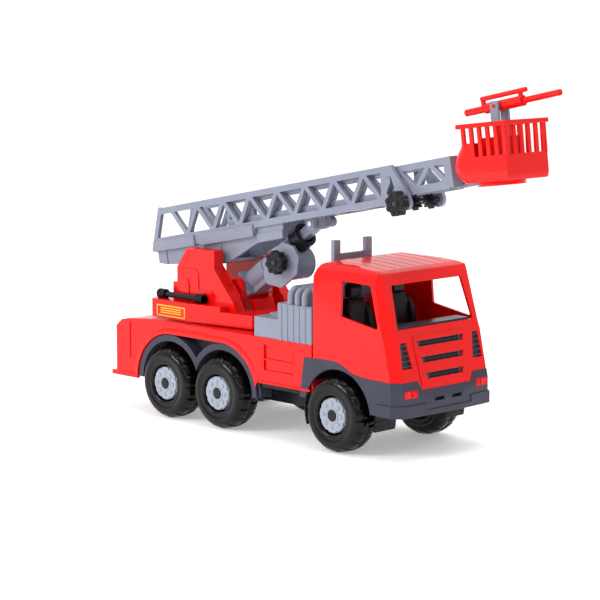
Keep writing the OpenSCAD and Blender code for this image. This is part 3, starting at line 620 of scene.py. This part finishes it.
def front_arch_shade(side, sign):
    """A near-black lining of the front wheel arch, with its back wall: painted shade inside the arch."""
    front = (AXLES["front"], AXLE_Z)
    outer, inner = (arc(front, radius, 200, -14, LINER_STEPS) for radius in (42.5, 40.5))
    made = Shape(toy)
    for a, b, c, d in zip(outer, outer[1:], inner[1:], inner):
        made.slab([a, b, c, d], *sorted((sign * 57.0, sign * 32.0)))
    made.slab(outer, *sorted((sign * 31.6, sign * 32.6)))
    made.piece(f"front_arch_shade_{side}", SHADOW, "chassis", 0)


for side, sign in SIDES.items():
    arch_lip(side, sign)
    side_panel(side, sign)
    front_arch_shade(side, sign)


# ---------- grab bars ----------
def grab_bar_ridges(side, sign):
    """Five ridges on each of the bar's two end grips."""
    made = Shape(toy)
    for grip in (-34, 18):
        for i in range(5):
            x = grip + 0.4 + 2.1 * i
            ridge = [(4.0, x), (4.55, x + 0.3), (4.55, x + 0.9), (4.0, x + 1.2)]
            made.turned(ridge, (0, sign * 42.3, 111), "x", 28)
    made.piece(f"grab_bar_ridges_{side}", MATERIALS["black"], "turntable", 0)


for side, sign in SIDES.items():
    grab_bar_ridges(side, sign)


# ---------- camera, light, floor ----------
def aimed(name, data, place, target):
    made = bpy.data.objects.new(name, data)
    bpy.context.scene.collection.objects.link(made)
    made.location = place
    made.rotation_euler = (Vector(target) - Vector(place)).to_track_quat("-Z", "Y").to_euler()
    return made


def camera():
    data = bpy.data.cameras.new("camera")
    data.lens = 131.46
    data.sensor_width = 36.0
    place, target = (1.3365, -1.3771, 0.3983), (-0.05141, 0.0, 0.114675)
    bpy.context.scene.camera = aimed("camera", data, place, target)


def soft_light(name, place, target, power, width, height):
    data = bpy.data.lights.new(name, "AREA")
    data.shape = "RECTANGLE"
    data.size, data.size_y = width, height
    data.energy = power
    aimed(name, data, place, target)


def studio_world():
    """White behind the toy, and darker in front of it, so that the cab's front is the shaded side."""
    world = bpy.data.worlds.new("studio")
    bpy.context.scene.world = world
    world.use_nodes = True
    tree = world.node_tree
    backdrop = tree.nodes["Background"]
    backdrop.inputs["Color"].default_value = (1, 1, 1, 1)
    heading = tree.nodes.new("ShaderNodeTexCoord")
    behind = tree.nodes.new("ShaderNodeVectorMath")
    behind.operation = "DOT_PRODUCT"
    behind.inputs[1].default_value = (-0.8, 0.6, 0.0)
    fade = node(tree, "ShaderNodeMapRange", From_Min=-0.7, From_Max=0.6, To_Min=0.5, To_Max=1.0)
    tree.links.new(heading.outputs["Generated"], behind.inputs[0])
    tree.links.new(behind.outputs["Value"], fade.inputs["Value"])
    tree.links.new(fade.outputs["Result"], backdrop.inputs["Strength"])


def paper_floor():
    """A plain pale floor that glows a little, so that it stays white out to the horizon."""
    reach = 90.0
    mesh = bpy.data.meshes.new("floor")
    corners = [(-reach, -reach, 0), (reach, -reach, 0), (reach, reach, 0), (-reach, reach, 0)]
    mesh.from_pydata(corners, [], [(0, 1, 2, 3)])
    floor = bpy.data.objects.new("floor", mesh)
    bpy.context.scene.collection.objects.link(floor)
    paper = plastic("floor_paper", (0.93, 0.93, 0.935), 0.004, 0.7, 120.0, 0.02, 0.5)
    shader = paper.node_tree.nodes["Principled BSDF"]
    shader.inputs["Emission Color"].default_value = (1, 1, 1, 1)
    shader.inputs["Emission Strength"].default_value = 0.32
    mesh.materials.append(paper)


camera()
bpy.context.scene.view_settings.view_transform = "Standard"
soft_light("key", (-0.8, -1.8, 1.2), (0, 0, 0.12), 24, 0.9, 0.9)
soft_light("top", (0.2, 0.2, 2.0), (0, 0, 0.1), 12, 1.2, 1.2)
soft_light("front_glint", (1.6, 0.2, 1.5), (0.1, 0, 0.1), 3, 0.2, 0.35)
soft_light("corner_glint", (1.0, -1.9, 0.85), (0.0, 0, 0.1), 4, 0.1, 1.0)
studio_world()
paper_floor()
